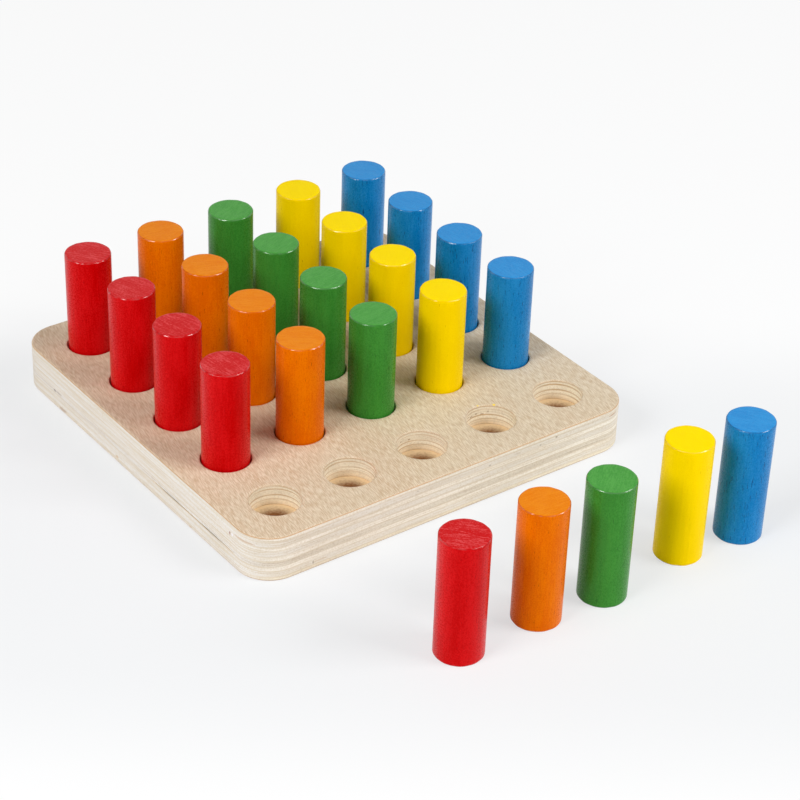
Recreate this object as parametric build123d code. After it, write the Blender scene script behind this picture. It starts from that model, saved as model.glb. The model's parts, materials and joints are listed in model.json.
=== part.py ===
from build123d import *
import os

# A square plywood peg board with a grid of blind round sockets and one set of wooden pegs per colour.
# The origin is the centre of the board's underside. +X runs along the front edge to the right,
# +Y runs away from the viewer, and +Z points up. Every length is in millimetres.

# Pegs: plain round cylinders with eased ends
peg_diameter = 20.0
peg_length = 54.0
peg_edge_round = 0.6

# Sockets: one column for each colour, one row for each place in a column
colours = ("red", "orange", "green", "yellow", "blue")
socket_rows = 5
socket_pitch = 36.0
socket_clearance = 0.5
socket_depth = 9.25
socket_rim_chamfer = 0.3

# Board outline
edge_margin = 23.0
corner_radius = 15.0
board_edge_round = 0.8

# Plywood layers: thin face veneers, then plies whose grain runs in turn along X and along Y
face_veneer_thickness = 0.5
outer_ply_thickness = 1.45
cross_ply_thickness = 2.65
long_ply_thickness = 2.0

# The pegs of the front row stand on the table, in a loose line in front of the board.
# The shares are of the pitch, in the order of the colours.
standing_row_gap = 73.5
standing_across_shares = (-1.48, -0.44, 0.42, 1.62, 2.45)
standing_forward_shares = (0.01, 0.015, -0.055, 0.06, -0.02)

# Cutters run past the faces that they cut by the overrun, and a cut thinner than the skin is left out
cut_overrun = 1.0
cut_skin = 0.01

# The plywood from the underside up
ply_thicknesses = {
    "bottom_face_veneer": face_veneer_thickness,
    "core_ply_1": outer_ply_thickness,
    "core_ply_2": cross_ply_thickness,
    "core_ply_3": long_ply_thickness,
    "core_ply_4": cross_ply_thickness,
    "core_ply_5": long_ply_thickness,
    "core_ply_6": cross_ply_thickness,
    "core_ply_7": long_ply_thickness,
    "core_ply_8": cross_ply_thickness,
    "core_ply_9": outer_ply_thickness,
    "top_face_veneer": face_veneer_thickness,
}

# Sizes that follow from the ones above
board_width = (len(colours) - 1) * socket_pitch + 2 * edge_margin
board_depth = (socket_rows - 1) * socket_pitch + 2 * edge_margin
board_thickness = sum(ply_thicknesses.values())
socket_radius = peg_diameter / 2 + socket_clearance
socket_floor = board_thickness - socket_depth
standing_line = -(board_depth / 2 + standing_row_gap)


def column_x(colour):
    """The X place of a colour's column of sockets."""
    return (colours.index(colour) - (len(colours) - 1) / 2) * socket_pitch


def row_y(row):
    """The Y place of a row of sockets; row 1 is the front one."""
    return (row - (socket_rows + 1) / 2) * socket_pitch


def board_blank():
    """The whole board with rounded corners and eased edges, before it is split into plies."""
    outline = RectangleRounded(board_width, board_depth, corner_radius)
    blank = extrude(outline, board_thickness)
    rims = blank.faces().sort_by(Axis.Z)
    return fillet(rims[0].edges() + rims[-1].edges(), board_edge_round)


def socket_cutters(lowest):
    """One cutter for each socket, from the given height up past the mouth, with the mouth's chamfer."""
    straight = Cylinder(
        socket_radius,
        board_thickness + cut_overrun - lowest,
        align=(Align.CENTER, Align.CENTER, Align.MIN),
    )
    flare = Cone(
        socket_radius,
        socket_radius + socket_rim_chamfer + cut_overrun,
        socket_rim_chamfer + cut_overrun,
        align=(Align.CENTER, Align.CENTER, Align.MIN),
    )
    cutter = Pos(0, 0, lowest) * straight + Pos(0, 0, board_thickness - socket_rim_chamfer) * flare
    places = [(column_x(colour), row_y(row)) for colour in colours for row in range(1, socket_rows + 1)]
    return [Pos(x, y, 0) * cutter for x, y in places]


def ply(blank, bottom, top):
    """The slice of the board between two heights, pierced or pocketed where the sockets reach it."""
    slab = Box(
        board_width + 2 * cut_overrun,
        board_depth + 2 * cut_overrun,
        top - bottom,
        align=(Align.CENTER, Align.CENTER, Align.MIN),
    )
    layer = blank & Pos(0, 0, bottom) * slab
    if socket_floor < bottom + cut_skin:
        layer = layer - socket_cutters(bottom - cut_overrun)
    elif socket_floor < top - cut_skin:
        layer = layer - socket_cutters(socket_floor)
    return layer


def peg():
    """One peg, standing with the centre of its lower end at the origin."""
    turned = Cylinder(peg_diameter / 2, peg_length, align=(Align.CENTER, Align.CENTER, Align.MIN))
    rims = turned.edges().filter_by(GeomType.CIRCLE)
    return fillet(rims, peg_edge_round)


def board_parts():
    """Every ply of the board, by name, stacked from the underside up."""
    blank = board_blank()
    parts = {}
    height = 0
    for name, thickness in ply_thicknesses.items():
        parts[name] = ply(blank, height, height + thickness)
        height = height + thickness
    return parts


def seated_pegs():
    """The pegs that stand in their sockets, behind the empty front row."""
    return {
        f"{colour}_peg_row_{row}": Pos(column_x(colour), row_y(row), socket_floor) * peg()
        for colour in colours
        for row in range(2, socket_rows + 1)
    }


def standing_pegs():
    """The pegs taken out of the front row, standing on the table in front of the board."""
    parts = {}
    for colour, across, forward in zip(colours, standing_across_shares, standing_forward_shares):
        place = Pos(across * socket_pitch, standing_line + forward * socket_pitch, 0)
        parts[f"{colour}_peg_standing"] = place * peg()
    return parts


os.makedirs("parts", exist_ok=True)
for node, shape in {**board_parts(), **seated_pegs(), **standing_pegs()}.items():
    export_step(shape, f"parts/{node}.step")
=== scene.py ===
"""Looks of a plywood peg board with rows of coloured wooden pegs, five of them standing on the table.

Every length is in metres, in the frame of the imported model: the origin is the centre of the board's
underside, +X runs right along its front edge, +Y runs away from the viewer and +Z points up.
"""

import json
import logging
import math
from dataclasses import dataclass, field
from enum import Enum
from functools import partial, reduce

import bpy
import numpy as np
from mathutils import Matrix, Vector


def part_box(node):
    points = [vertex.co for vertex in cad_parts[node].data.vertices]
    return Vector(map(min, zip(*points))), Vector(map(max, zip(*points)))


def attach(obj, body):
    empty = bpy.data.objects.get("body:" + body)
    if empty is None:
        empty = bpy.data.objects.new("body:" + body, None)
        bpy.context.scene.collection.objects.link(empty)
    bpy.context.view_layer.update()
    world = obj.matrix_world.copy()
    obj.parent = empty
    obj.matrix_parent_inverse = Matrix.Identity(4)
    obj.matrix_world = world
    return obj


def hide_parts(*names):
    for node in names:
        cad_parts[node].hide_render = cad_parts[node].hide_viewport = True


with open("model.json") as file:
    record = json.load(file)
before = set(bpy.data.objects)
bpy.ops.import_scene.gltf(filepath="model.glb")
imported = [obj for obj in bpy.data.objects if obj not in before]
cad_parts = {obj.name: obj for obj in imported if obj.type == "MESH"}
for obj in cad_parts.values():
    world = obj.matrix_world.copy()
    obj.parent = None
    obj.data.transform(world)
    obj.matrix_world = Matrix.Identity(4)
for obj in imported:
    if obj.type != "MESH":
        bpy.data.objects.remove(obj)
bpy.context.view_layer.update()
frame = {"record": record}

LOG = logging.getLogger("peg_board")
MM = 0.001
WELD = 1e-7
SOCKET_FIELD = 86 * MM
FILLED_ROWS = ("row_2", "row_3", "row_4", "row_5")
WHITE = (1.0, 1.0, 1.0, 1.0)

Array = np.ndarray
Rgb = tuple[float, float, float]
Xyz = tuple[float, float, float]
Span = tuple[float, float]
Socket = bpy.types.NodeSocket
Feed = Socket | float | tuple

# The finishes' fields that end in grain give the blotches of a noise in a metre along X, Y and Z.


class PegColour(Enum):
    """The colours of the pegs, one for each column of sockets from left to right."""

    RED = "red"
    ORANGE = "orange"
    GREEN = "green"
    YELLOW = "yellow"
    BLUE = "blue"


class Grain(Enum):
    """The way that the fibres of a ply run."""

    ALONG_X = "long_grain_ply"
    ALONG_Y = "cross_grain_ply"


def srgb(colour: Rgb) -> tuple[float, float, float, float]:
    """Turns a colour as seen on a screen into the linear colour of a shader socket, by the sRGB curve.

    Args:
        colour: The red, green and blue levels from 0 to 255.

    Returns:
        The linear red, green, blue and an alpha of 1.
    """
    levels = np.array(colour) / 255
    linear = np.where(levels <= 0.04045, levels / 12.92, ((levels + 0.055) / 1.055) ** 2.4)
    return (*linear.tolist(), 1.0)


def waves(angle: Array, rise: Array, counts: range, seed: int, sway: float = 1.5) -> Array:
    """Adds up cosines round an axis, each with its own count, phase and slow drift along the axis.

    Args:
        angle: The angle round the axis, as an array.
        rise: The height along the axis from 0 to 1, in a shape that broadcasts with the angle.
        counts: How many waves each cosine has in a full turn.
        seed: The seed of the phases and drifts.
        sway: How far a cosine drifts, as an angle of its wave.

    Returns:
        The sum, about -1 to 1, in the broadcast shape.
    """
    random = np.random.default_rng(seed)
    total = np.zeros(np.broadcast(angle, rise).shape)
    for count in counts:
        phase, drift, bow = random.uniform(0, 2 * math.pi, 3)
        total += np.cos(count * angle + phase + sway * np.sin(drift + rise * (2 + bow)))
    return total / math.sqrt(2 * len(counts))


def spread(start: Array, end: Array, shares: Array, height: float) -> Array:
    """Gives level rings of points, each of which has gone its share of the way from a start to an end."""
    flat = start + (end - start) * shares[:, None, None]
    return np.concatenate([flat, np.full((*flat.shape[:-1], 1), height)], -1)


def put(name: str, data: bpy.types.Mesh | bpy.types.Light | bpy.types.Camera) -> bpy.types.Object:
    """Makes an object and puts it in the scene.

    Args:
        name: The object's name.
        data: Its mesh, lamp or camera.

    Returns:
        The object, at the origin.
    """
    item = bpy.data.objects.new(name, data)
    bpy.context.scene.collection.objects.link(item)
    return item


def show(mesh: bpy.types.Mesh, material: bpy.types.Material, node: str, body: str) -> None:
    """Dresses a finished mesh and puts it in the scene in place of its node.

    Args:
        mesh: The mesh, with its place in its points.
        material: Its finish.
        node: The node that it stands for.
        body: The body that it rides on.
    """
    mesh.materials.append(material)
    piece = put(mesh.name, mesh)
    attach(piece, body)
    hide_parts(node)
    LOG.info("%s: %d faces", piece.name, len(mesh.polygons))


class Skin:
    """One closed surface, gathered from grids of points over two parameters and welded into a mesh."""

    def __init__(self) -> None:
        """Starts with no points and no faces."""
        self.points: list[Array] = []
        self.faces: list[Array] = []
        self.count = 0

    def add(self, grid: Array) -> None:
        """Adds a grid whose columns close into a ring; a quad joins each point to the next column and row.

        Seen from outside, the next column is on the right and the next row above.

        Args:
            grid: Points in the shape rows, columns, 3.
        """
        rows, columns = grid.shape[:2]
        index = self.count + np.arange(rows * columns).reshape(rows, columns)
        after = np.roll(index, -1, axis=1)
        self.faces.append(np.stack([index[:-1], after[:-1], after[1:], index[1:]], -1).reshape(-1, 4))
        self.points.append(grid.reshape(-1, 3))
        self.count += rows * columns

    def mesh(self, name: str, crease: float) -> bpy.types.Mesh:
        """Welds equal points, drops faces that shrank to a line and makes the mesh.

        Args:
            name: The mesh's name.
            crease: The angle between two faces, in degrees, past which their edge is sharp.

        Returns:
            The mesh, smooth apart from its sharp edges.
        """
        points = np.concatenate(self.points)
        keys = np.round(points / WELD).astype(np.int64)
        _, first, same = np.unique(keys, axis=0, return_index=True, return_inverse=True)
        faces = same.reshape(-1)[np.concatenate(self.faces)]
        repeats = faces == np.roll(faces, -1, axis=1)
        quads = faces[repeats.sum(1) == 0]
        folded = faces[repeats.sum(1) == 1]
        kept = ~repeats[repeats.sum(1) == 1]
        triangles = folded[kept].reshape(-1, 3)
        mesh = bpy.data.meshes.new(name)
        mesh.from_pydata(points[first].tolist(), [], quads.tolist() + triangles.tolist())
        mesh.shade_smooth()
        mesh.set_sharp_from_angle(angle=math.radians(crease))
        return mesh


class Tree:
    """The nodes of a material or of the surroundings, with short ways to add and join them."""

    def __init__(self, owner: bpy.types.Material | bpy.types.World) -> None:
        """Takes the owner's nodes into use.

        Args:
            owner: The material or the world.
        """
        owner.use_nodes = True
        self.nodes = owner.node_tree.nodes
        self.links = owner.node_tree.links

    def feed(self, socket: Socket, value: Feed) -> None:
        """Links a socket into another, or sets it where the value is a number or a colour.

        Args:
            socket: The socket that takes the value.
            value: What goes into it.
        """
        if isinstance(value, Socket):
            self.links.new(value, socket)
        else:
            socket.default_value = value

    def add(
        self, kind: str, inputs: dict[str | int, Feed], output: str | int = 0, **settings: str
    ) -> Socket:
        """Adds a node.

        Args:
            kind: The node's type, without the ShaderNode before it.
            inputs: What goes into its sockets, by their names or numbers.
            output: The name or number of the socket that is wanted from it.
            settings: The node's own settings.

        Returns:
            The wanted socket.
        """
        node = self.nodes.new(f"ShaderNode{kind}")
        for name, setting in settings.items():
            setattr(node, name, setting)
        for key, value in inputs.items():
            self.feed(node.inputs[key], value)
        return node.outputs[output]

    def coordinates(self, kind: str) -> Socket:
        """Gives the Object or Normal output of the texture coordinates."""
        return self.add("TexCoord", {}, kind)

    def turn(self, vector: Feed, angle: Feed) -> Socket:
        """Turns coordinates about Z by an angle in radians."""
        return self.add("VectorRotate", {"Vector": vector, "Angle": angle}, rotation_type="Z_AXIS")

    def place(self, vector: Feed, scale: Xyz) -> Socket:
        """Stretches coordinates by a factor along each axis."""
        return self.add("Mapping", {"Vector": vector, "Scale": scale})

    def length(self, vector: Feed) -> Socket:
        """Gives the length of a vector."""
        return self.add("VectorMath", {0: vector}, "Value", operation="LENGTH")

    def off_cell(self, vector: Feed, half: float) -> Socket:
        """Gives how far a point is from the middle of its square cell, which reaches half to each side."""
        inputs = {0: vector, 1: (half, half, 1.0), 2: (-half, -half, -1.0)}
        return self.length(self.place(self.add("VectorMath", inputs, operation="WRAP"), (1, 1, 0)))

    def noise(
        self, vector: Feed, grain: Xyz, detail: float = 2.0, lot: Feed | None = None, warp: float = 0.0
    ) -> Socket:
        """Makes soft noise.

        Args:
            vector: The coordinates.
            grain: How many blotches it has in each unit of the coordinates, along each axis.
            detail: How many finer layers it has.
            lot: A number that gives each piece its own pattern, or None.
            warp: How far the pattern is pulled out of shape.

        Returns:
            The noise from 0 to 1.
        """
        inputs = {"Vector": self.place(vector, grain), "Scale": 1.0, "Detail": detail, "Distortion": warp}
        if lot is not None:
            inputs["W"] = lot
        return self.add("TexNoise", inputs, noise_dimensions="3D" if lot is None else "4D")

    def steps(self, value: Feed, low: float, high: float, start: float = 0.0, end: float = 1.0) -> Socket:
        """Eases a value over, from the start where it is below low to the end where it is above high."""
        inputs = dict(enumerate((value, low, high, start, end)))
        return self.add("MapRange", inputs, interpolation_type="SMOOTHSTEP")

    def math(self, operation: str, first: Feed, second: Feed = 0.0) -> Socket:
        """Joins one or two numbers by an operation such as ADD or MULTIPLY."""
        return self.add("Math", {0: first, 1: second}, operation=operation)

    def times(self, *factors: Feed) -> Socket:
        """Multiplies numbers, the first with the second and so on."""
        return reduce(partial(self.math, "MULTIPLY"), factors)

    def sum(self, *terms: tuple[Feed, float]) -> Socket:
        """Adds up numbers, each times its own factor."""
        return reduce(partial(self.math, "ADD"), [self.times(*term) for term in terms])

    def most(self, *numbers: Feed) -> Socket:
        """Gives the largest of some numbers."""
        return reduce(partial(self.math, "MAXIMUM"), numbers)

    def part(self, vector: Feed, axis: str) -> Socket:
        """Gives the X, Y or Z of a vector."""
        return self.add("SeparateXYZ", {0: vector}, axis)

    def off_middle(self, place: Feed) -> Socket:
        """Gives how far a point is from the board's middle along X or along Y, whichever is more."""
        return self.most(*(self.math("ABSOLUTE", self.part(place, axis)) for axis in "XY"))

    def levelness(self, normal: Feed) -> Socket:
        """Tells how level a surface lies, from 0 where it is upright to 1 where it is flat."""
        return self.math("ABSOLUTE", self.part(normal, "Z"))

    def mix(self, share: Feed, first: Feed, second: Feed) -> Socket:
        """Mixes two colours, with the first at a share of 0 and the second at 1."""
        return self.add("Mix", {"Factor": share, 6: first, 7: second}, 2, data_type="RGBA")

    def bump(self, height: Feed, depth: float, strength: float) -> Socket:
        """Turns a height from 0 to 1 into a bumped normal, by the relief that a height of 1 stands for."""
        return self.add("Bump", {"Height": height, "Distance": depth, "Strength": strength})

    def seen(self) -> Socket:
        """Gives 1 to a ray from the eye, straight or by way of a gloss or clear stuff, and 0 to others."""
        path = self.nodes.new("ShaderNodeLightPath").outputs
        return self.most(path["Is Camera Ray"], path["Is Glossy Ray"], path["Is Transmission Ray"])


class Bench(Tree):
    """A material's nodes, with its shader."""

    def __init__(self, name: str) -> None:
        """Makes the material with its shader.

        Args:
            name: The material's name.
        """
        self.material = bpy.data.materials.new(name)
        super().__init__(self.material)
        self.shader = next(n for n in self.nodes if n.type == "BSDF_PRINCIPLED")
        self.output = next(n for n in self.nodes if n.type == "OUTPUT_MATERIAL")

    def set(self, **values: Feed) -> None:
        """Sets or links sockets of the shader by name, with _ for a space."""
        for name, value in values.items():
            self.feed(self.shader.inputs[name.replace("_", " ")], value)


@dataclass(frozen=True)
class LacquerFinish:
    """Semi-gloss coloured lacquer over turned wood, finely pebbled, with a few dark flecks of the fibres.

    The rim is the eased edge round each end, and its foot and top are spans of levelness. A thin line of
    painted shade darkens it towards the fleck colour.
    """

    side: Rgb
    shade: Rgb
    end: Rgb
    end_line: Rgb
    fleck: Rgb
    gloss_tint: Rgb
    fleck_share: float
    gloss_index: float = 1.32
    line_reach: Span = (0.38, 0.62)
    rim_painted_shade: float = 0.35
    rough: Span = (0.2, 0.4)
    end_rough: float = 0.1
    rim_rough: float = 0.16
    rim_index: float = 1.6
    relief: float = 0.1 * MM
    end_facing: Span = (0.85, 0.97)
    rim_foot: Span = (0.25, 0.45)
    rim_top: Span = (0.8, 0.93)
    fibre_grain: Xyz = (1500, 1500, 110)
    cloud_grain: Xyz = (110, 110, 40)
    pebble_grain: Xyz = (2300, 2300, 1800)
    swell_grain: Xyz = (420, 420, 300)
    fleck_grain: Xyz = (3000, 3000, 330)
    fleck_edge: float = 0.75
    fleck_drop: float = 0.2
    line_grain: Xyz = (1700, 190, 0)
    pore_grain: Xyz = (2300, 1500, 0)
    drift_grain: Xyz = (230, 120, 0)

    def material(self, name: str) -> bpy.types.Material:
        """Makes the lacquer.

        The mesh brings the point from the foot of the peg as the attribute turned, and a number of its
        own as the attribute lot.

        Args:
            name: The material's name.

        Returns:
            The material.
        """
        bench = Bench(name)
        turned = bench.add("Attribute", {}, "Vector", attribute_name="turned")
        lot = bench.add("Attribute", {}, "Fac", attribute_name="lot")
        facing = bench.levelness(bench.coordinates("Normal"))
        on_end = bench.steps(facing, *self.end_facing)
        rim = bench.times(bench.steps(facing, *self.rim_foot), bench.steps(facing, *self.rim_top, 1.0, 0.0))
        fibres = bench.noise(turned, self.fibre_grain, 2.0, lot)
        clouds = bench.noise(turned, self.cloud_grain, 2.0, lot)
        pebble = bench.noise(turned, self.pebble_grain, 1.0, lot)
        swell = bench.noise(turned, self.swell_grain, 1.0, lot)
        lines = self.growth_lines(bench, turned, lot)
        blend = bench.sum((fibres, 0.25), (clouds, 0.4), (pebble, 0.35))
        side = bench.mix(bench.steps(blend, 0.4, 0.6), srgb(self.shade), srgb(self.side))
        side = bench.mix(self.flecks(bench, turned, lot), side, srgb(self.fleck))
        # A thin dark line round each rim, in the fleck colour: painted shade for the dark that the bevel
        # reflects, not a fleck.
        side = bench.mix(bench.times(rim, self.rim_painted_shade), side, srgb(self.fleck))
        end = bench.mix(lines, srgb(self.end), srgb(self.end_line))
        rough = bench.steps(pebble, 0.35, 0.65, *self.rough)
        height = bench.sum((pebble, 0.7), (swell, 0.4), (fibres, 0.1), (bench.times(lines, on_end), -0.3))
        bench.set(
            Base_Color=bench.mix(on_end, side, end),
            Roughness=bench.sum((rough, 1.0), (on_end, self.end_rough)),
            IOR=self.gloss_index,
            Specular_Tint=srgb(self.gloss_tint),
            Coat_Weight=bench.times(rim, bench.steps(swell, 0.4, 0.58, 0.1, 1.0)),
            Coat_Roughness=self.rim_rough,
            Coat_IOR=self.rim_index,
            Normal=bench.bump(height, self.relief, 0.8),
        )
        return bench.material

    def flecks(self, bench: Bench, turned: Feed, lot: Feed) -> Socket:
        """Scatters short dark flecks along the fibres, more of them where the finish has a larger share."""
        edge = self.fleck_edge - self.fleck_drop * self.fleck_share
        return bench.steps(bench.noise(turned, self.fleck_grain, 1.0, lot), edge, edge + 0.06, 0.0, 0.8)

    def growth_lines(self, bench: Bench, turned: Feed, lot: Feed) -> Socket:
        """Draws the uneven, slightly curved lines of the end grain, turned another way on each peg.

        Args:
            bench: The material's nodes.
            turned: The coordinates from the foot of the peg.
            lot: The peg's own number.

        Returns:
            A share of 1 on a line and 0 between two.
        """
        level = bench.turn(turned, lot)
        lines = bench.noise(level, self.line_grain, 3.0, lot, 0.5)
        pores = bench.noise(level, self.pore_grain, 1.0, lot)
        drift = bench.noise(level, self.drift_grain, 2.0, lot)
        return bench.steps(bench.sum((lines, 0.45), (pores, 0.35), (drift, 0.2)), *self.line_reach)


@dataclass(frozen=True)
class Mark:
    """A small patch of another colour, soft and a little ragged, with its lengths in mm: mostly a stain,
    knot or chip, in a few places painted shade or a painted glint.
    """

    centre: Xyz
    reach: Xyz
    colour: Rgb
    share: float = 0.8
    ragged: float = 0.6
    ragged_grain: Xyz = (1100, 1100, 1100)
    fade: Span = (1.0, 1.3)

    def paint(self, bench: Bench, place: Feed, colour: Feed) -> Socket:
        """Paints the mark over a colour.

        Args:
            bench: The material's nodes.
            place: The Object coordinates.
            colour: The colour under the mark.

        Returns:
            The colour with the mark.
        """
        centre, reach = (tuple(value * MM for value in row) for row in (self.centre, self.reach))
        inputs = {"Vector": place, "Location": centre, "Scale": reach}
        shares = bench.add("Mapping", inputs, vector_type="TEXTURE")
        noise = bench.noise(place, self.ragged_grain, 1.0)
        away = bench.sum((bench.length(shares), 1.0), (noise, self.ragged))
        return bench.mix(bench.steps(away, *self.fade, self.share, 0.0), colour, srgb(self.colour))


@dataclass(frozen=True)
class VeneerFinish:
    """A pale peeled veneer under a thin matt varnish, with short flecks along Y and a darker cut edge."""

    pale: Rgb = (212, 195, 168)
    warm: Rgb = (208, 184, 154)
    light_fleck: Rgb = (228, 213, 190)
    dark_fleck: Rgb = (186, 157, 124)
    cut_edge: Rgb = (190, 142, 96)
    light_share: float = 0.8
    dark_share: float = 0.48
    cut_shares: Span = (0.22, 0.85)
    slant: float = 0.16
    relief: float = 0.06 * MM
    varnish_index: float = 1.36
    rough: Span = (0.62, 0.5)
    cloud_grain: Xyz = (26, 12, 26)
    band_grain: Xyz = (170, 14, 170)
    stroke_grain: Xyz = (3600, 290, 3600)
    grit_grain: Xyz = (3600, 1500, 3600)
    marks: tuple[Mark, ...] = ()

    def material(self, name: str) -> bpy.types.Material:
        """Makes the veneer.

        Args:
            name: The material's name.

        Returns:
            The material.
        """
        bench = Bench(name)
        place = bench.coordinates("Object")
        leaning = bench.turn(place, self.slant)
        clouds = bench.noise(leaning, self.cloud_grain)
        bands = bench.noise(leaning, self.band_grain)
        strokes = bench.noise(leaning, self.stroke_grain, 0.5, warp=0.1)
        grit = bench.noise(leaning, self.grit_grain, 1.0)
        flecks = bench.sum((strokes, 0.75), (grit, 0.25))
        tone = bench.steps(bench.sum((clouds, 0.6), (bands, 0.4)), 0.3, 0.7)
        light = bench.steps(flecks, 0.5, 0.6, 0.0, self.light_share)
        dark = bench.steps(flecks, 0.48, 0.38, 0.0, self.dark_share)
        colour = bench.mix(tone, srgb(self.warm), srgb(self.pale))
        colour = bench.mix(light, colour, srgb(self.light_fleck))
        colour = bench.mix(dark, colour, srgb(self.dark_fleck))
        for mark in self.marks:
            colour = mark.paint(bench, place, colour)
        upright = bench.steps(bench.levelness(bench.coordinates("Normal")), 0.85, 0.6)
        outside = bench.steps(bench.off_middle(place), SOCKET_FIELD, SOCKET_FIELD + MM, *self.cut_shares)
        bench.set(
            Base_Color=bench.mix(bench.times(outside, upright), colour, srgb(self.cut_edge)),
            Roughness=bench.steps(flecks, 0.3, 0.7, *self.rough),
            IOR=self.varnish_index,
            Normal=bench.bump(flecks, self.relief, 0.6),
        )
        return bench.material


@dataclass(frozen=True)
class PlyFinish:
    """A core ply: smooth lines where its fibres run along the cut, greyer pores where they end in it."""

    along: Rgb
    ends: Rgb
    grain: Grain
    line: Rgb = (208, 192, 166)
    joint: Rgb = (214, 199, 174)
    pore: Rgb = (168, 148, 122)
    # The socket wall's colour is paler than the ply edges, which is painted light; foot is a darker, warmer
    # colour near the socket floor, which is painted shade.
    lightened_wall: Rgb = (252, 243, 219)
    wall_joint: Rgb = (190, 154, 108)
    wall_share: float = 0.85
    foot: Rgb = (230, 204, 166)
    foot_shade_share: float = 0.8
    foot_shade_fade: Span = (11.25 * MM, 15.25 * MM)
    # The socket floor is pale at its edge and dark brown in the middle; the dark middle is painted shade.
    bed: Rgb = (234, 207, 166)
    bed_shaded_middle: Rgb = (122, 74, 34)
    bed_shade_fade: Span = (5 * MM, 12 * MM)
    bed_shade_ragged: float = 3.5 * MM
    half_pitch: float = 18 * MM
    joint_width: float = 0.3 * MM
    joint_shares: Span = (0.25, 0.8)
    relief: float = 0.05 * MM
    wood_index: float = 1.34
    rough: Span = (0.66, 0.56)
    layer_grain: Xyz = (34, 34, 2600)
    fine_grain: Xyz = (1500, 1500, 1700)
    pore_grain: Xyz = (1700, 1700, 1500)
    bed_shade_grain: Xyz = (900, 900, 900)
    wander_grain: Xyz = (70, 70, 0)
    glue_grain: Xyz = (45, 45, 300)
    marks: tuple[Mark, ...] = ()

    def material(self, name: str, low: float, high: float) -> bpy.types.Material:
        """Makes the ply's wood, with the glue joints at its lower and upper face.

        Args:
            name: The material's name.
            low: The height of the ply's lower face.
            high: The height of its upper face.

        Returns:
            The material.
        """
        bench = Bench(name)
        place = bench.coordinates("Object")
        normal = bench.coordinates("Normal")
        fine = bench.noise(place, self.fine_grain)
        layers = bench.noise(place, self.layer_grain, 3.0, warp=0.1)
        across = bench.part(normal, "X" if self.grain is Grain.ALONG_X else "Y")
        ended = bench.times(across, across)
        inside = bench.steps(bench.off_middle(place), SOCKET_FIELD - 2 * MM, SOCKET_FIELD, 1.0, 0.0)
        colour = bench.mix(ended, srgb(self.along), srgb(self.ends))
        # Inside the sockets the wall colour, with its painted light and painted shade, covers the ply's own.
        colour = bench.mix(bench.times(inside, self.wall_share), colour, self.socket_wall(bench, place))
        colour = bench.mix(self.lines(bench, layers, fine, ended, inside), colour, srgb(self.line))
        pores = bench.steps(bench.noise(place, self.pore_grain, 1.0), 0.72, 0.8, 0.0, 0.6)
        colour = bench.mix(bench.times(pores, ended), colour, srgb(self.pore))
        joint = bench.mix(inside, srgb(self.joint), srgb(self.wall_joint))
        colour = bench.mix(self.joints(bench, place, low, high), colour, joint)
        lying = bench.steps(bench.part(normal, "Z"), 0.8, 0.95)
        # Level faces, which are the socket floors, take the bed colour with its painted shade in the middle.
        colour = bench.mix(lying, colour, self.socket_bed(bench, place))
        for mark in self.marks:
            colour = mark.paint(bench, place, colour)
        bench.set(
            Base_Color=colour,
            Roughness=bench.steps(fine, 0.2, 0.8, *self.rough),
            IOR=self.wood_index,
            Normal=bench.bump(bench.sum((fine, 0.6), (layers, 0.4)), self.relief, 0.5),
        )
        return bench.material

    def lines(self, bench: Bench, layers: Feed, fine: Feed, ended: Feed, inside: Feed) -> Socket:
        """Draws the lines along the ply, more strongly where the outer edge cuts its fibres at a slant.

        Args:
            bench: The material's nodes.
            layers: The long noise along the ply.
            fine: The small noise.
            ended: How squarely the cut goes through the fibres.
            inside: A share of 1 in the sockets and 0 on the outer edge.

        Returns:
            How strongly a line shows.
        """
        plain = bench.steps(layers, 0.42, 0.68, 0.0, 0.6)
        lined = bench.sum((plain, 1.0), (bench.steps(fine, 0.4, 0.75), 0.45))
        slanted = bench.times(ended, bench.math("SUBTRACT", 1.0, ended), bench.math("SUBTRACT", 1.0, inside))
        return bench.math("ADD", lined, bench.times(slanted, bench.steps(layers, 0.45, 0.6)))

    def socket_wall(self, bench: Bench, place: Feed) -> Socket:
        """Colours a socket's wall: paler than the ply's edge, painted light against its shade, and darker
        and warmer near its foot, painted shade.
        """
        foot_shade = bench.steps(bench.part(place, "Z"), *self.foot_shade_fade, self.foot_shade_share, 0.0)
        return bench.mix(foot_shade, srgb(self.lightened_wall), srgb(self.foot))

    def socket_bed(self, bench: Bench, place: Feed) -> Socket:
        """Colours the floor of a socket, darker and browner towards the middle, which is painted shade.

        Args:
            bench: The material's nodes.
            place: The Object coordinates.

        Returns:
            The colour.
        """
        away = bench.off_cell(place, self.half_pitch)
        # The dark middle is painted shade, eased out by distance from the socket's centre with a ragged
        # noise.
        bed_shade = bench.sum((away, 1.0), (bench.noise(place, self.bed_shade_grain), self.bed_shade_ragged))
        return bench.mix(bench.steps(bed_shade, *self.bed_shade_fade), srgb(self.bed_shaded_middle), srgb(self.bed))

    def joints(self, bench: Bench, place: Feed, low: float, high: float) -> Socket:
        """Draws the slightly wandering, soft lines of the glue joints along the ply's faces.

        Args:
            bench: The material's nodes.
            place: The Object coordinates.
            low: The height of the ply's lower face.
            high: The height of its upper face.

        Returns:
            How strongly a joint shows, 0 away from joints.
        """
        height = bench.part(place, "Z")
        wander = bench.times(bench.noise(place, self.wander_grain), self.joint_width)
        lower = bench.steps(bench.math("SUBTRACT", height, wander), low, low + self.joint_width, 1.0, 0.0)
        upper = bench.steps(bench.math("ADD", height, wander), high - self.joint_width, high)
        strength = bench.steps(bench.noise(place, self.glue_grain), 0.3, 0.7, *self.joint_shares)
        return bench.times(bench.most(lower, upper), strength)


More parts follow.
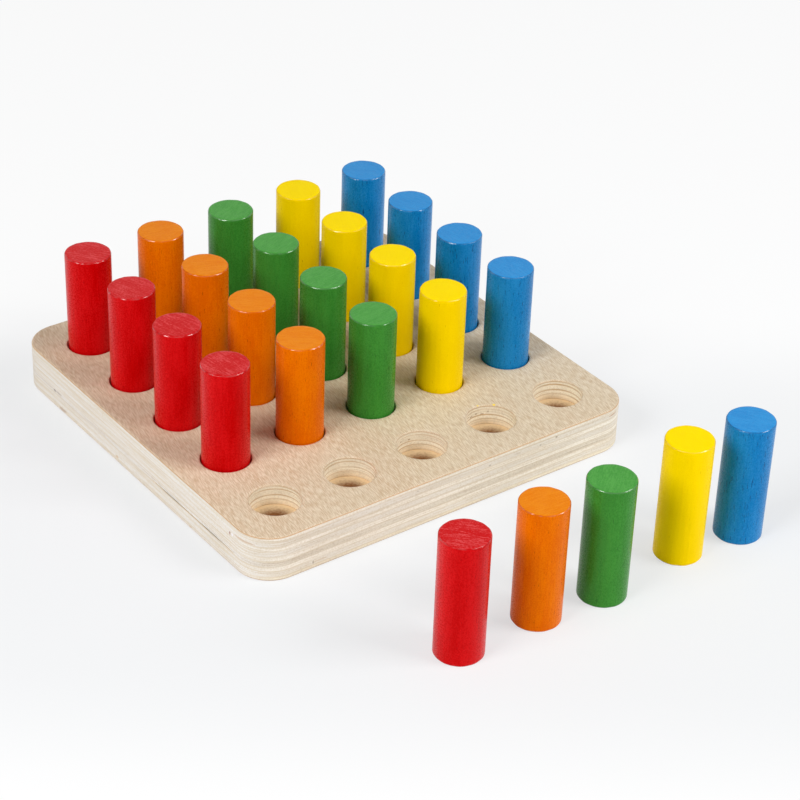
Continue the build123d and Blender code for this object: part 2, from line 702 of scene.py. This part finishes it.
@dataclass
class Peg:
    """One turned peg. Its place and size come from its node in the frame."""

    node: str
    colour: PegColour
    seed: int
    edge_round: float = 0.42 * MM
    edge_ripple: float = 0.09 * MM
    edge_height: float = 1.2
    edge_flatness: float = 1.5
    edge_waves: range = range(3, 17, 2)
    fibre_relief: float = 0.02 * MM
    fibre_waves: range = range(11, 47, 3)
    oval: float = 0.03 * MM
    end_slope: float = 0.004
    dent_count: int = 5
    dent_rise: Span = (0.1, 0.9)
    dent_depth: float = 0.12 * MM
    dent_size: float = 0.5 * MM
    around: int = 128
    along: int = 60
    rings: int = 8
    crease: float = 50.0
    lot_step: float = 1.7

    def surface(self) -> tuple[Array, Array]:
        """Works out the skin as rings of points from the centre of the foot to the centre of the top.

        Each ring has a share of the flat end, a turn round the eased edge and a rise up the side. The
        distance from the axis is the share times the flat radius plus the edge radius times the sine of
        the turn. The height is the edge radius times one minus the cosine of the turn, plus the rise
        times the straight side. Both the sine and the cosine are raised to a power, which flattens the
        eased edge towards a bevel. Waves round the axis ease the edge unevenly and raise the fibres.

        Returns:
            The points in the frame, and the same points from the foot of the peg.
        """
        low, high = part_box(self.node)
        radius = (high.x - low.x) / 2
        length = high.z - low.z
        foot = np.array([(low.x + high.x) / 2, (low.y + high.y) / 2, low.z])
        disc = np.linspace(0, 1, self.rings + 1)[:-1]
        square = math.pi / 2
        quarter = np.linspace(0, square, self.rings)
        climb = np.linspace(0, 1, self.along)[1:-1]
        ended = 2 * self.rings
        turns = [disc * 0, quarter, np.full(len(climb), square), quarter + square, disc * 0 + math.pi]
        flat = np.concatenate([disc, np.ones(ended + len(climb)), disc[::-1]])[:, None]
        turn = np.concatenate(turns)[:, None]
        rise = np.concatenate([np.zeros(ended), climb, np.ones(ended)])[:, None]
        angle = np.linspace(0, 2 * math.pi, self.around, endpoint=False)[None, :]
        uneven = (waves(angle, 0 * angle, self.edge_waves, self.seed + end) for end in range(2))
        lower, upper = (self.edge_round + self.edge_ripple * wave for wave in uneven)
        edge = lower + (upper - lower) * rise
        on_side = np.sin(turn) ** 2
        fibres = 1 + waves(angle, rise, self.fibre_waves, self.seed + 2)
        reach = radius - self.oval * (1 + np.cos(2 * angle + self.seed))
        reach = reach - self.fibre_relief * on_side * fibres
        reach = reach - self.dents(angle, rise, radius, length) * on_side
        sine = np.abs(np.sin(turn)) ** self.edge_flatness
        cosine = np.sign(np.cos(turn)) * np.abs(np.cos(turn)) ** self.edge_flatness
        tall = self.edge_height * edge
        out = flat * (reach - edge) + edge * sine
        up = tall * (1 - cosine) + rise * (length - 2 * tall)
        up = up - self.end_slope * rise * out * (1 + np.cos(angle + self.seed)) / 2
        points = np.stack([out * np.cos(angle), out * np.sin(angle), up], -1)
        return points + foot, points

    def dents(self, angle: Array, rise: Array, radius: float, length: float) -> Array:
        """Gives the depth of a few small knocks on the side, each a bell over the unrolled side.

        Args:
            angle: The angle round the axis.
            rise: The height from 0 to 1.
            radius: The peg's radius.
            length: The peg's length.

        Returns:
            The depth in metres, in the broadcast shape.
        """
        random = np.random.default_rng(self.seed + 3)
        depth = np.zeros(np.broadcast(angle, rise).shape)
        lowest, highest = self.dent_rise
        places = random.uniform((0, lowest), (2 * math.pi, highest), (self.dent_count, 2))
        for where, height in places:
            along = radius * (np.mod(angle - where + math.pi, 2 * math.pi) - math.pi)
            up = length * (rise - height) / 2
            depth += self.dent_depth * np.exp(-(along**2 + up**2) / self.dent_size**2)
        return depth

    def build(self, material: bpy.types.Material) -> None:
        """Makes the peg, which rides on its own body, and gives it its attributes.

        Args:
            material: Its lacquer.
        """
        points, turned = self.surface()
        skin = Skin()
        skin.add(points)
        mesh = skin.mesh(f"{self.node}_lacquered", self.crease)
        count = len(mesh.vertices)
        place = np.empty(count * 3)
        mesh.vertices.foreach_get("co", place)
        foot = (points - turned)[0, 0]
        layer = mesh.attributes.new("turned", "FLOAT_VECTOR", "POINT")
        layer.data.foreach_set("vector", (place.reshape(-1, 3) - foot).ravel())
        lot = mesh.attributes.new("lot", "FLOAT", "POINT")
        lot.data.foreach_set("value", np.full(count, self.lot_step * self.seed))
        show(mesh, material, self.node, self.node)


@dataclass
class PegSet:
    """The pegs of the board and those taken out, with one lacquer for each colour."""

    finishes: dict[PegColour, LacquerFinish]
    rows: tuple[str, ...] = (*FILLED_ROWS, "standing")
    seed_step: int = 11

    def build(self) -> int:
        """Builds and dresses every peg.

        Returns:
            The number of pegs.
        """
        made = 0
        for colour, finish in self.finishes.items():
            material = finish.material(f"{colour.value} lacquer")
            for row in self.rows:
                made += 1
                Peg(f"{colour.value}_peg_{row}", colour, self.seed_step * made).build(material)
        return made


@dataclass(frozen=True)
class CoreGap:
    """A long thin gap in a core ply's left edge, where two strips of the core don't quite meet."""

    ply: str = "core_ply_4"
    front: float = -78 * MM
    back: float = -16 * MM
    height: float = 7.2 * MM
    opening: float = 0.48 * MM
    depth: float = 2.4 * MM
    bluntness: float = 0.35
    flutter: float = 0.08
    flutter_lengths: Span = (1.7 * MM, 4.1 * MM)

    def share(self, place: Array, facing: Array) -> Array:
        """Tells how open the gap is along the outline, from 0 to 1.

        Args:
            place: The Y of each point of the outline.
            facing: The X of the outline's outward direction there.

        Returns:
            The share, with long tapers to both ends and 0 away from the left side.
        """
        middle = (self.front + self.back) / 2
        half = (self.back - self.front) / 2
        swell = np.clip(1 - ((place - middle) / half) ** 2, 0, 1) ** self.bluntness
        short, long = (np.sin(place / length) for length in self.flutter_lengths)
        flutter = 1 - self.flutter + self.flutter * short * long
        return np.where(facing < -0.999, swell * flutter, 0.0)


@dataclass
class Board:
    """The plywood board: eleven plies with sockets through the upper ones.

    The edge and wall rows are shares of a ply's thickness, denser near its glue joints.
    """

    corner_radius: float = 15 * MM
    edge_round: float = 0.8 * MM
    rim_chamfer: float = 0.35 * MM
    rim_roundness: float = 1.6
    cell_margin: float = 14 * MM
    joint_groove: float = 0.035 * MM
    joint_width: float = 0.14 * MM
    wall_ripple: float = 0.03 * MM
    wall_waves: range = range(5, 30, 3)
    seed_step: int = 17
    edge_rows: tuple[float, ...] = (0, 0.03, 0.08, 0.2, 0.35, 0.5, 0.65, 0.8, 0.92, 0.97, 1.0)
    wall_rows: tuple[float, ...] = (1.0, 0.96, 0.88, 0.75, 0.6, 0.4, 0.2, 0.06, 0.0)
    cell_steps: int = 24
    corner_steps: int = 8
    crease: float = 40.0
    gap: CoreGap = field(default_factory=CoreGap)
    veneer: VeneerFinish = field(default_factory=VeneerFinish)

    def __post_init__(self) -> None:
        """Reads the board's size, the plies' heights and the sockets' places from the frame."""
        self.plies = list(frame["record"]["behaviour"]["bodies"]["board"])
        boxes = {ply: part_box(ply) for ply in self.plies}
        self.span = {ply: (low.z, high.z) for ply, (low, high) in boxes.items()}
        self.half = max(high.x for _, high in boxes.values())
        self.top = max(high for _, high in self.span.values())
        bores = [mount for mount in frame["record"]["mounts"] if mount["kind"] == "bore"]
        self.columns = [bore["pos_m"][0] for bore in bores]
        seated = [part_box(f"{PegColour.RED.value}_peg_{row}") for row in FILLED_ROWS]
        self.rows = [bores[0]["pos_m"][1], *(round((low.y + high.y) / 2, 6) for low, high in seated)]
        self.socket_radius = bores[0]["dims"]["r_mm"] * MM
        self.socket_floor = seated[0][0].z
        self.across = self.cell_cuts(self.columns)
        self.along = self.cell_cuts(self.rows)

    def cell_cuts(self, centres: list[float]) -> Array:
        """Splits one side of the board into cells, one round each socket, with equal steps in each.

        Args:
            centres: The sockets' places along the side.

        Returns:
            The places of the steps along the side, from the first cell's start to the last cell's end.
        """
        inner = [(first + second) / 2 for first, second in zip(centres, centres[1:])]
        bounds = [centres[0] - self.cell_margin, *inner, centres[-1] + self.cell_margin]
        parts = [np.linspace(a, b, self.cell_steps, endpoint=False) for a, b in zip(bounds, bounds[1:])]
        return np.concatenate([*parts, [bounds[-1]]])

    def ring(self, across: Array, along: Array) -> Array:
        """Gives the outline of a rectangle from its ticks, counter-clockwise from its front right corner.

        Args:
            across: The ticks along X.
            along: The ticks along Y, as many as along X.

        Returns:
            Points in the shape count, 2.
        """
        still = np.ones(len(across) - 1)
        x = np.concatenate([still * across[-1], across[:0:-1], still * across[0], across[:-1]])
        y = np.concatenate([along[:-1], still * along[-1], along[:0:-1], still * along[0]])
        return np.stack([x, y], -1)

    def outline(self) -> tuple[Array, Array]:
        """Gives the rounded square as centres of its corner circles and outward directions.

        A point of the outline is its centre plus the corner radius times its direction. The centre stands
        still round a corner and slides along a side while the direction stands still.

        Returns:
            The centres and the directions, each in the shape count, 2.
        """
        corner = np.linspace(0, math.pi / 4, self.corner_steps + 1)
        straight = len(self.across) - 1 - 2 * self.corner_steps
        angle = np.concatenate([corner[:-1] - math.pi / 4, np.zeros(straight + 1), corner[1:-1]])
        inner = self.half - self.corner_radius
        slide = np.concatenate([
            np.full(self.corner_steps, -inner),
            np.linspace(-inner, inner, straight + 1),
            np.full(self.corner_steps - 1, inner),
        ])
        centres, directions = [], []
        for quarter, (cosine, sine) in enumerate(((1, 0), (0, 1), (-1, 0), (0, -1))):
            centres.append(np.stack([cosine * inner - sine * slide, sine * inner + cosine * slide], -1))
            turned = angle + quarter * math.pi / 2
            directions.append(np.stack([np.cos(turned), np.sin(turned)], -1))
        return np.concatenate(centres), np.concatenate(directions)

    def side_rows(self, ply: str, centres: Array, directions: Array) -> tuple[Array, Array]:
        """Works out the ply's outer edge, row by row from its lower to its upper face.

        A row is set back by the board's eased edge, which is a quarter circle, and by a shallow groove at
        each glue joint. In the ply with the gap four more rows open it: two lips and two rows set deep.

        Args:
            ply: The ply's name.
            centres: The centres of the outline.
            directions: Its outward directions.

        Returns:
            The heights and the set-backs, each in the shape rows, count.
        """
        low, high = self.span[ply]
        shares = np.array(self.edge_rows)
        height = np.repeat((low + shares * (high - low))[:, None], len(centres), 1)
        deep = np.zeros_like(height)
        if ply == self.gap.ply:
            share = self.gap.share((centres + self.corner_radius * directions)[:, 1], directions[:, 0])
            lips = self.gap.height + self.gap.opening * share * np.array([[-0.5], [-0.5], [0.5], [0.5]])
            hollow = self.gap.depth * share * np.array([[0.0], [1.0], [1.0], [0.0]])
            away = height[:, 0] - self.gap.height
            below, above = away < -self.gap.opening, away > self.gap.opening
            height = np.concatenate([height[below], lips, height[above]])
            deep = np.concatenate([deep[below], hollow, deep[above]])
        from_face = np.minimum(height, self.top - height)
        short = np.clip(self.edge_round - from_face, 0, self.edge_round)
        eased = self.edge_round - np.sqrt(self.edge_round**2 - short**2)
        return height, deep + (eased + self.groove(height, low, high))

    def groove(self, height: Array, low: float, high: float) -> Array:
        """Gives the depth of the shallow groove at the ply's glue joints, but not at the board's faces.

        Args:
            height: The heights.
            low: The height of the ply's lower face.
            high: The height of its upper face.

        Returns:
            The depth in metres.
        """
        below = np.where(low > WELD, height - low, self.joint_width)
        above = np.where(high < self.top - WELD, high - height, self.joint_width)
        near = np.clip(np.minimum(below, above) / self.joint_width, 0, 1)
        return self.joint_groove * (1 - near)

    def band(self, ply: str) -> Array:
        """Works out the ply's rim: under it, up its outer edge and back over it to the cells.

        Args:
            ply: The ply's name.

        Returns:
            Points in the shape rows, columns, 3.
        """
        low, high = self.span[ply]
        centres, directions = self.outline()
        height, setback = self.side_rows(ply, centres, directions)
        reach = (self.corner_radius - setback)[:, :, None]
        edge = np.concatenate([centres + reach * directions, height[:, :, None]], -1)
        square = self.ring(self.across, self.across)
        shares = np.linspace(0, 1, 5)
        under = spread(square, edge[0, :, :2], shares[:-1], low)
        over = spread(edge[-1, :, :2], square, shares[1:], high)
        return np.concatenate([under, edge, over])

    def cell(self, ply: str, column: int, row: int) -> Array:
        """Works out the ply round one socket: in over it to the socket, down its wall and out under it.

        A point slides from the cell's straight outline to the socket's circle at the same share of the
        way round. A ply below the sockets closes on the circle's centre.

        Args:
            ply: The ply's name.
            column: The socket's column, from 0.
            row: The socket's row, from 0.

        Returns:
            Points in the shape rows, columns, 3.
        """
        low, high = self.span[ply]
        first, second = column * self.cell_steps, row * self.cell_steps
        across = self.across[first : first + self.cell_steps + 1]
        along = self.along[second : second + self.cell_steps + 1]
        square = self.ring(across, along)
        angle = np.linspace(0, 2 * math.pi, len(square), endpoint=False) - math.pi / 4
        circle = np.stack([np.cos(angle), np.sin(angle)], -1)
        centre = np.array([self.columns[column], self.rows[row]])
        if low > self.socket_floor - WELD:
            height, radius = self.wall_radius(ply, angle, self.seed_step * column + row)
        else:
            height, radius = np.full((1, len(square)), high), np.zeros((1, len(square)))
        shaft = np.concatenate([centre + radius[:, :, None] * circle, height[:, :, None]], -1)
        over = spread(square, shaft[0, :, :2], np.linspace(0, 1, 7)[:-1] ** 0.8, high)
        under = spread(shaft[-1, :, :2], square, np.linspace(0, 1, 3), low)
        return np.concatenate([over, shaft, under])

    def wall_radius(self, ply: str, angle: Array, seed: int) -> tuple[Array, Array]:
        """Works out a socket's wall in one ply, row by row from the upper to the lower face.

        The radius is the socket's, with a rounded chamfer at the mouth, a shallow groove at each glue
        joint and a little ripple left by the cutter.

        Args:
            ply: The ply's name.
            angle: The angles round the socket.
            seed: The seed of the ripple.

        Returns:
            The heights and the radii, each in the shape rows, count.
        """
        low, high = self.span[ply]
        height = (low + np.array(self.wall_rows) * (high - low))[:, None]
        mouth = np.clip(1 - (self.top - height) / self.rim_chamfer, 0, 1)
        radius = self.socket_radius + self.rim_chamfer * mouth**self.rim_roundness
        radius = radius + self.groove(height, low, high)
        ripple = waves(angle[None, :], height / self.top, self.wall_waves, seed)
        return np.broadcast_to(height, ripple.shape), radius + self.wall_ripple * ripple * (1 - mouth)

    def build_ply(self, ply: str, material: bpy.types.Material) -> None:
        """Makes one ply, which rides on the board.

        Args:
            ply: The ply's node.
            material: Its finish.
        """
        skin = Skin()
        skin.add(self.band(ply))
        for column in range(len(self.columns)):
            for row in range(len(self.rows)):
                skin.add(self.cell(ply, column, row))
        show(skin.mesh(f"{ply}_wood", self.crease), material, ply, "board")

    def build(self, core: dict[str, PlyFinish]) -> int:
        """Builds and dresses every ply.

        Args:
            core: The finish of each core ply by its name.

        Returns:
            The number of plies.
        """
        veneer = self.veneer.material("face veneer")
        for ply in self.plies:
            if ply in core:
                material = core[ply].material(f"{ply} wood", *self.span[ply])
                self.build_ply(ply, material)
            else:
                self.build_ply(ply, veneer)
        return len(self.plies)


@dataclass(frozen=True)
class Softbox:
    """A soft square lamp that looks at the board from a direction."""

    name: str
    azimuth: float
    elevation: float
    distance: float
    size: float
    power: float
    aim: Xyz = (0.0, -0.04, 0.02)

    def build(self) -> None:
        """Puts the lamp in the scene. Azimuth 0 stands in front of the board and 90 at its right."""
        data = bpy.data.lights.new(self.name, "AREA")
        data.shape = "SQUARE"
        data.size = self.size
        data.energy = self.power
        lamp = put(self.name, data)
        turn, tilt = math.radians(self.azimuth), math.radians(self.elevation)
        level = math.cos(tilt)
        back = Vector((math.sin(turn) * level, -math.cos(turn) * level, math.sin(tilt)))
        lamp.location = Vector(self.aim) + back * self.distance
        lamp.rotation_mode = "QUATERNION"
        lamp.rotation_quaternion = (-back).to_track_quat("-Z", "Y")
        LOG.info("lamp %s", self.name)


@dataclass
class Studio:
    """The pale floor, the white surroundings and the lamps.

    The floor is grey round the board and whitens over four distances along a line through its middle: it
    is white before the first, grey from the second to the third, and white again past the fourth.
    """

    floor_size: float = 8.0
    floor_colour: Rgb = (0.885, 0.895, 0.905)
    floor_rough: float = 0.9
    floor_index: float = 1.2
    floor_glow: float = 0.68
    white_glow: float = 0.85
    grey_band: tuple[float, float, float, float] = (-0.27, -0.19, -0.03, 0.09)
    white_reach: Span = (0.8, 2.2)
    line: Span = (0.6064, 0.7952)
    middle: Span = (0.033, -0.013)
    sky: float = 0.24
    lamps: tuple[Softbox, ...] = (
        Softbox("left softbox", -80, 37, 1.4, 0.6, 13.2),
        Softbox("right softbox", 38, 38, 1.5, 0.7, 14.8),
    )

    def build_floor(self) -> None:
        """Lays the floor as a large square that whitens in front of and behind the board and far away."""
        half = self.floor_size / 2
        corners = [(-half, -half, 0), (half, -half, 0), (half, half, 0), (-half, half, 0)]
        mesh = bpy.data.meshes.new("floor")
        mesh.from_pydata(corners, [], [(0, 1, 2, 3)])
        floor = put("floor", mesh)
        bench = Bench("floor paper")
        colour = (*self.floor_colour, 1.0)
        away, white = self.whiteness(bench)
        bench.set(Base_Color=colour, Roughness=self.floor_rough, IOR=self.floor_index)
        glow = bench.add("Emission", {"Color": bench.mix(white, colour, WHITE)})
        glowing = bench.steps(white, 0.0, 1.0, self.floor_glow, self.white_glow)
        share = bench.times(bench.most(glowing, away), bench.seen())
        blend = bench.add("MixShader", {0: share, 1: bench.shader.outputs[0], 2: glow})
        bench.feed(bench.output.inputs["Surface"], blend)
        mesh.materials.append(bench.material)
        LOG.info("floor laid")

    def whiteness(self, bench: Bench) -> tuple[Socket, Socket]:
        """Works out how white the floor is.

        Args:
            bench: The floor's nodes.

        Returns:
            How far away from the board a point is, from 0 to 1, and how white the floor is there.
        """
        place = bench.coordinates("Object")
        start = sum(a * b for a, b in zip(self.middle, self.line))
        ahead = bench.sum(*((bench.part(place, axis), share) for axis, share in zip("XY", self.line)))
        ahead = bench.math("SUBTRACT", ahead, start)
        near = bench.steps(ahead, *self.grey_band[:2], 1.0, 0.0)
        far = bench.steps(ahead, *self.grey_band[2:])
        away = bench.steps(bench.length(place), *self.white_reach)
        return away, bench.most(near, far, away)

    def build_sky(self) -> None:
        """Makes the surroundings: white where they are seen, and a soft plain light otherwise."""
        world = bpy.data.worlds.new("studio")
        bpy.context.scene.world = world
        tree = Tree(world)
        tree.nodes.clear()
        strength = tree.steps(tree.seen(), 0.0, 1.0, self.sky, 1.0)
        background = tree.add("Background", {"Color": WHITE, "Strength": strength})
        tree.feed(tree.nodes.new("ShaderNodeOutputWorld").inputs["Surface"], background)
        LOG.info("surroundings made")

    def build(self) -> None:
        """Makes the floor, the surroundings and the lamps."""
        self.build_floor()
        self.build_sky()
        for lamp in self.lamps:
            lamp.build()


@dataclass(frozen=True)
class PhotoCamera:
    """The camera at the photograph's place, direction and angle of view."""

    place: Xyz = (-502.1 * MM, -714.6 * MM, 555.7 * MM)
    forward: Xyz = (0.5130, 0.6727, -0.5332)
    right: Xyz = (0.8068, -0.5900, 0.0319)
    field_of_view: float = 19.0835
    clip: Span = (0.01, 50.0)

    def build(self) -> None:
        """Puts the camera in the scene and makes it the scene's own."""
        data = bpy.data.cameras.new("camera")
        data.sensor_fit = "AUTO"
        data.angle = math.radians(self.field_of_view)
        data.clip_start, data.clip_end = self.clip
        ahead = Vector(self.forward).normalized()
        right = (Vector(self.right) - ahead * Vector(self.right).dot(ahead)).normalized()
        above = right.cross(ahead)
        turn = Matrix((right, above, -ahead)).transposed().to_4x4()
        camera = put("camera", data)
        camera.matrix_world = Matrix.Translation(Vector(self.place)) @ turn
        bpy.context.scene.camera = camera
        LOG.info("camera placed")


LACQUERS = {
    # The red's green and blue are painted sheen: the faint pink on its sides and the pink ground of its end
    # stand for the gloss of the pebbled lacquer; the end's dark growth lines are its own.
    PegColour.RED: LacquerFinish(
        side=(206, 14, 18), shade=(188, 0, 2), end=(216, 70, 72), end_line=(194, 0, 4), fleck=(130, 0, 8),
        gloss_tint=(255, 50, 50), fleck_share=0.2, gloss_index=1.34, line_reach=(0.38, 0.54),
    ),
    PegColour.ORANGE: LacquerFinish(
        side=(231, 117, 0), shade=(219, 100, 0), end=(233, 139, 26), end_line=(226, 119, 0),
        fleck=(160, 66, 0), gloss_tint=(255, 170, 20), fleck_share=0.35, gloss_index=1.2,
    ),
    PegColour.GREEN: LacquerFinish(
        side=(60, 137, 48), shade=(50, 123, 40), end=(79, 156, 66), end_line=(58, 138, 49),
        fleck=(28, 76, 24), gloss_tint=(190, 255, 180), fleck_share=0.3,
    ),
    PegColour.YELLOW: LacquerFinish(
        side=(253, 216, 0), shade=(249, 210, 0), end=(255, 223, 0), end_line=(252, 218, 0),
        fleck=(200, 155, 0), gloss_tint=(255, 235, 30), fleck_share=0.15, gloss_index=1.13,
    ),
    PegColour.BLUE: LacquerFinish(
        side=(31, 130, 194), shade=(3, 115, 180), end=(46, 146, 212), end_line=(34, 132, 202),
        fleck=(8, 48, 96), gloss_tint=(150, 215, 255), fleck_share=0.55,
    ),
}

# A brown speck on the left edge, and beside it a near-white mark that is a painted glint.
SPECK_AND_GLINT = (
    Mark((-95, -74.7, 15.5), (2, 0.6, 1.3), (160, 114, 100)),
    Mark((-95, -76.4, 15.6), (2, 0.6, 1.1), (238, 234, 240)),
)
TORN_GRAIN = tuple(
    Mark((x, -61.8, z), (long, 2.5, 0.35), (164, 130, 92), 0.7)
    for x, z, long in (
        (31.5, 17.3, 0.8), (33.6, 16.6, 1.1), (36.4, 17.0, 0.7), (39.2, 16.4, 0.9), (41.6, 17.2, 0.6),
        (-3.2, 17.4, 0.6), (1.4, 16.9, 0.8),
    )
)
CORE_MARKS = {
    "core_ply_1": (
        Mark((-95, -45.6, 0.7), (2, 1.2, 0.6), (205, 172, 128), 0.6),
        Mark((-95, 58, 1.8), (2, 3.4, 1.0), (184, 162, 146), 0.9),
    ),
    "core_ply_2": (
        Mark((-95, 12.2, 2.7), (2, 1.5, 0.5), (200, 164, 118), 0.7),
        Mark((-69.4, -95, 3.2), (0.4, 2, 0.9), (160, 142, 118), 0.7),
        Mark((-66, -95, 3.2), (3.5, 2, 0.4), (206, 184, 152), 0.6),
    ),
    "core_ply_4": (
        # These two marks paint the inside of the core gap near black: painted shade in the gap.
        Mark((-91, -62, 7.2), (3.3, 22, 3), (44, 32, 20), 1.0, 0.0),
        Mark((-91, -32, 7.2), (3.3, 22, 3), (44, 32, 20), 1.0, 0.0),
        Mark((-95, 64.4, 8.0), (2, 0.9, 0.7), (122, 106, 92)),
        Mark((-95, 60.8, 8.2), (2, 2.6, 0.45), (168, 150, 132), 0.7),
    ),
    "core_ply_7": SPECK_AND_GLINT,
    "core_ply_8": (
        Mark((-94.5, -84, 16.6), (3, 8, 0.5), (198, 166, 132), 0.7),
        Mark((-18.9, -95, 17.7), (0.6, 2, 0.4), (176, 156, 132), 0.5),
        Mark((17.8, -95, 16.6), (0.8, 2, 0.5), (166, 150, 128), 0.6),
        Mark((32.0, -95, 17.1), (2.0, 2, 0.4), (194, 178, 156), 0.5),
        Mark((44.4, -95, 16.9), (0.6, 2, 0.4), (158, 142, 122), 0.6),
        Mark((52.8, -95, 17.9), (0.7, 2, 0.6), (146, 128, 106), 0.6),
        Mark((84.0, -94, 17.7), (3.2, 3, 0.4), (186, 142, 98), 0.7),
        *TORN_GRAIN,
    ),
}
PAINT_SPECKS = (
    Mark((37.5, -61.0, 20.5), (0.5, 0.5, 1), (246, 214, 40), 0.9),
    Mark((43.8, -64.1, 20.5), (0.7, 0.7, 1), (246, 214, 40), 0.9),
)

CREAM = {"along": (245, 238, 225), "ends": (228, 223, 217)}
GREY = {"along": (229, 225, 220), "ends": (232, 225, 213)}
DARK = {"along": (228, 223, 217), "ends": (227, 218, 201), "line": (192, 174, 150)}
YELLOW_CREAM = {"along": (240, 230, 207), "ends": (224, 216, 207)}

# The core plies from the lowest up. Their fibres run along X and along Y in turn.
CORE_TONES = (YELLOW_CREAM, GREY, CREAM, DARK, CREAM, GREY, CREAM, GREY, CREAM)


def core_finishes() -> dict[str, PlyFinish]:
    """Gives the finish of each core ply by its name.

    Returns:
        The finishes, from the lowest ply up.
    """
    finishes = {}
    for number, tone in enumerate(CORE_TONES, 1):
        ply = f"core_ply_{number}"
        grain = Grain.ALONG_X if number % 2 else Grain.ALONG_Y
        finishes[ply] = PlyFinish(**tone, grain=grain, marks=CORE_MARKS.get(ply, ()))
    return finishes


def main() -> None:
    """Builds the camera, the studio, the board and the pegs."""
    logging.basicConfig(level=logging.INFO, format="%(name)s: %(message)s")
    bpy.context.scene.view_settings.view_transform = "Standard"
    PhotoCamera().build()
    Studio().build()
    plies = Board(veneer=VeneerFinish(marks=PAINT_SPECKS)).build(core_finishes())
    pegs = PegSet(LACQUERS).build()
    LOG.info("%d plies and %d pegs", plies, pegs)


if __name__ == "__main__":
    main()
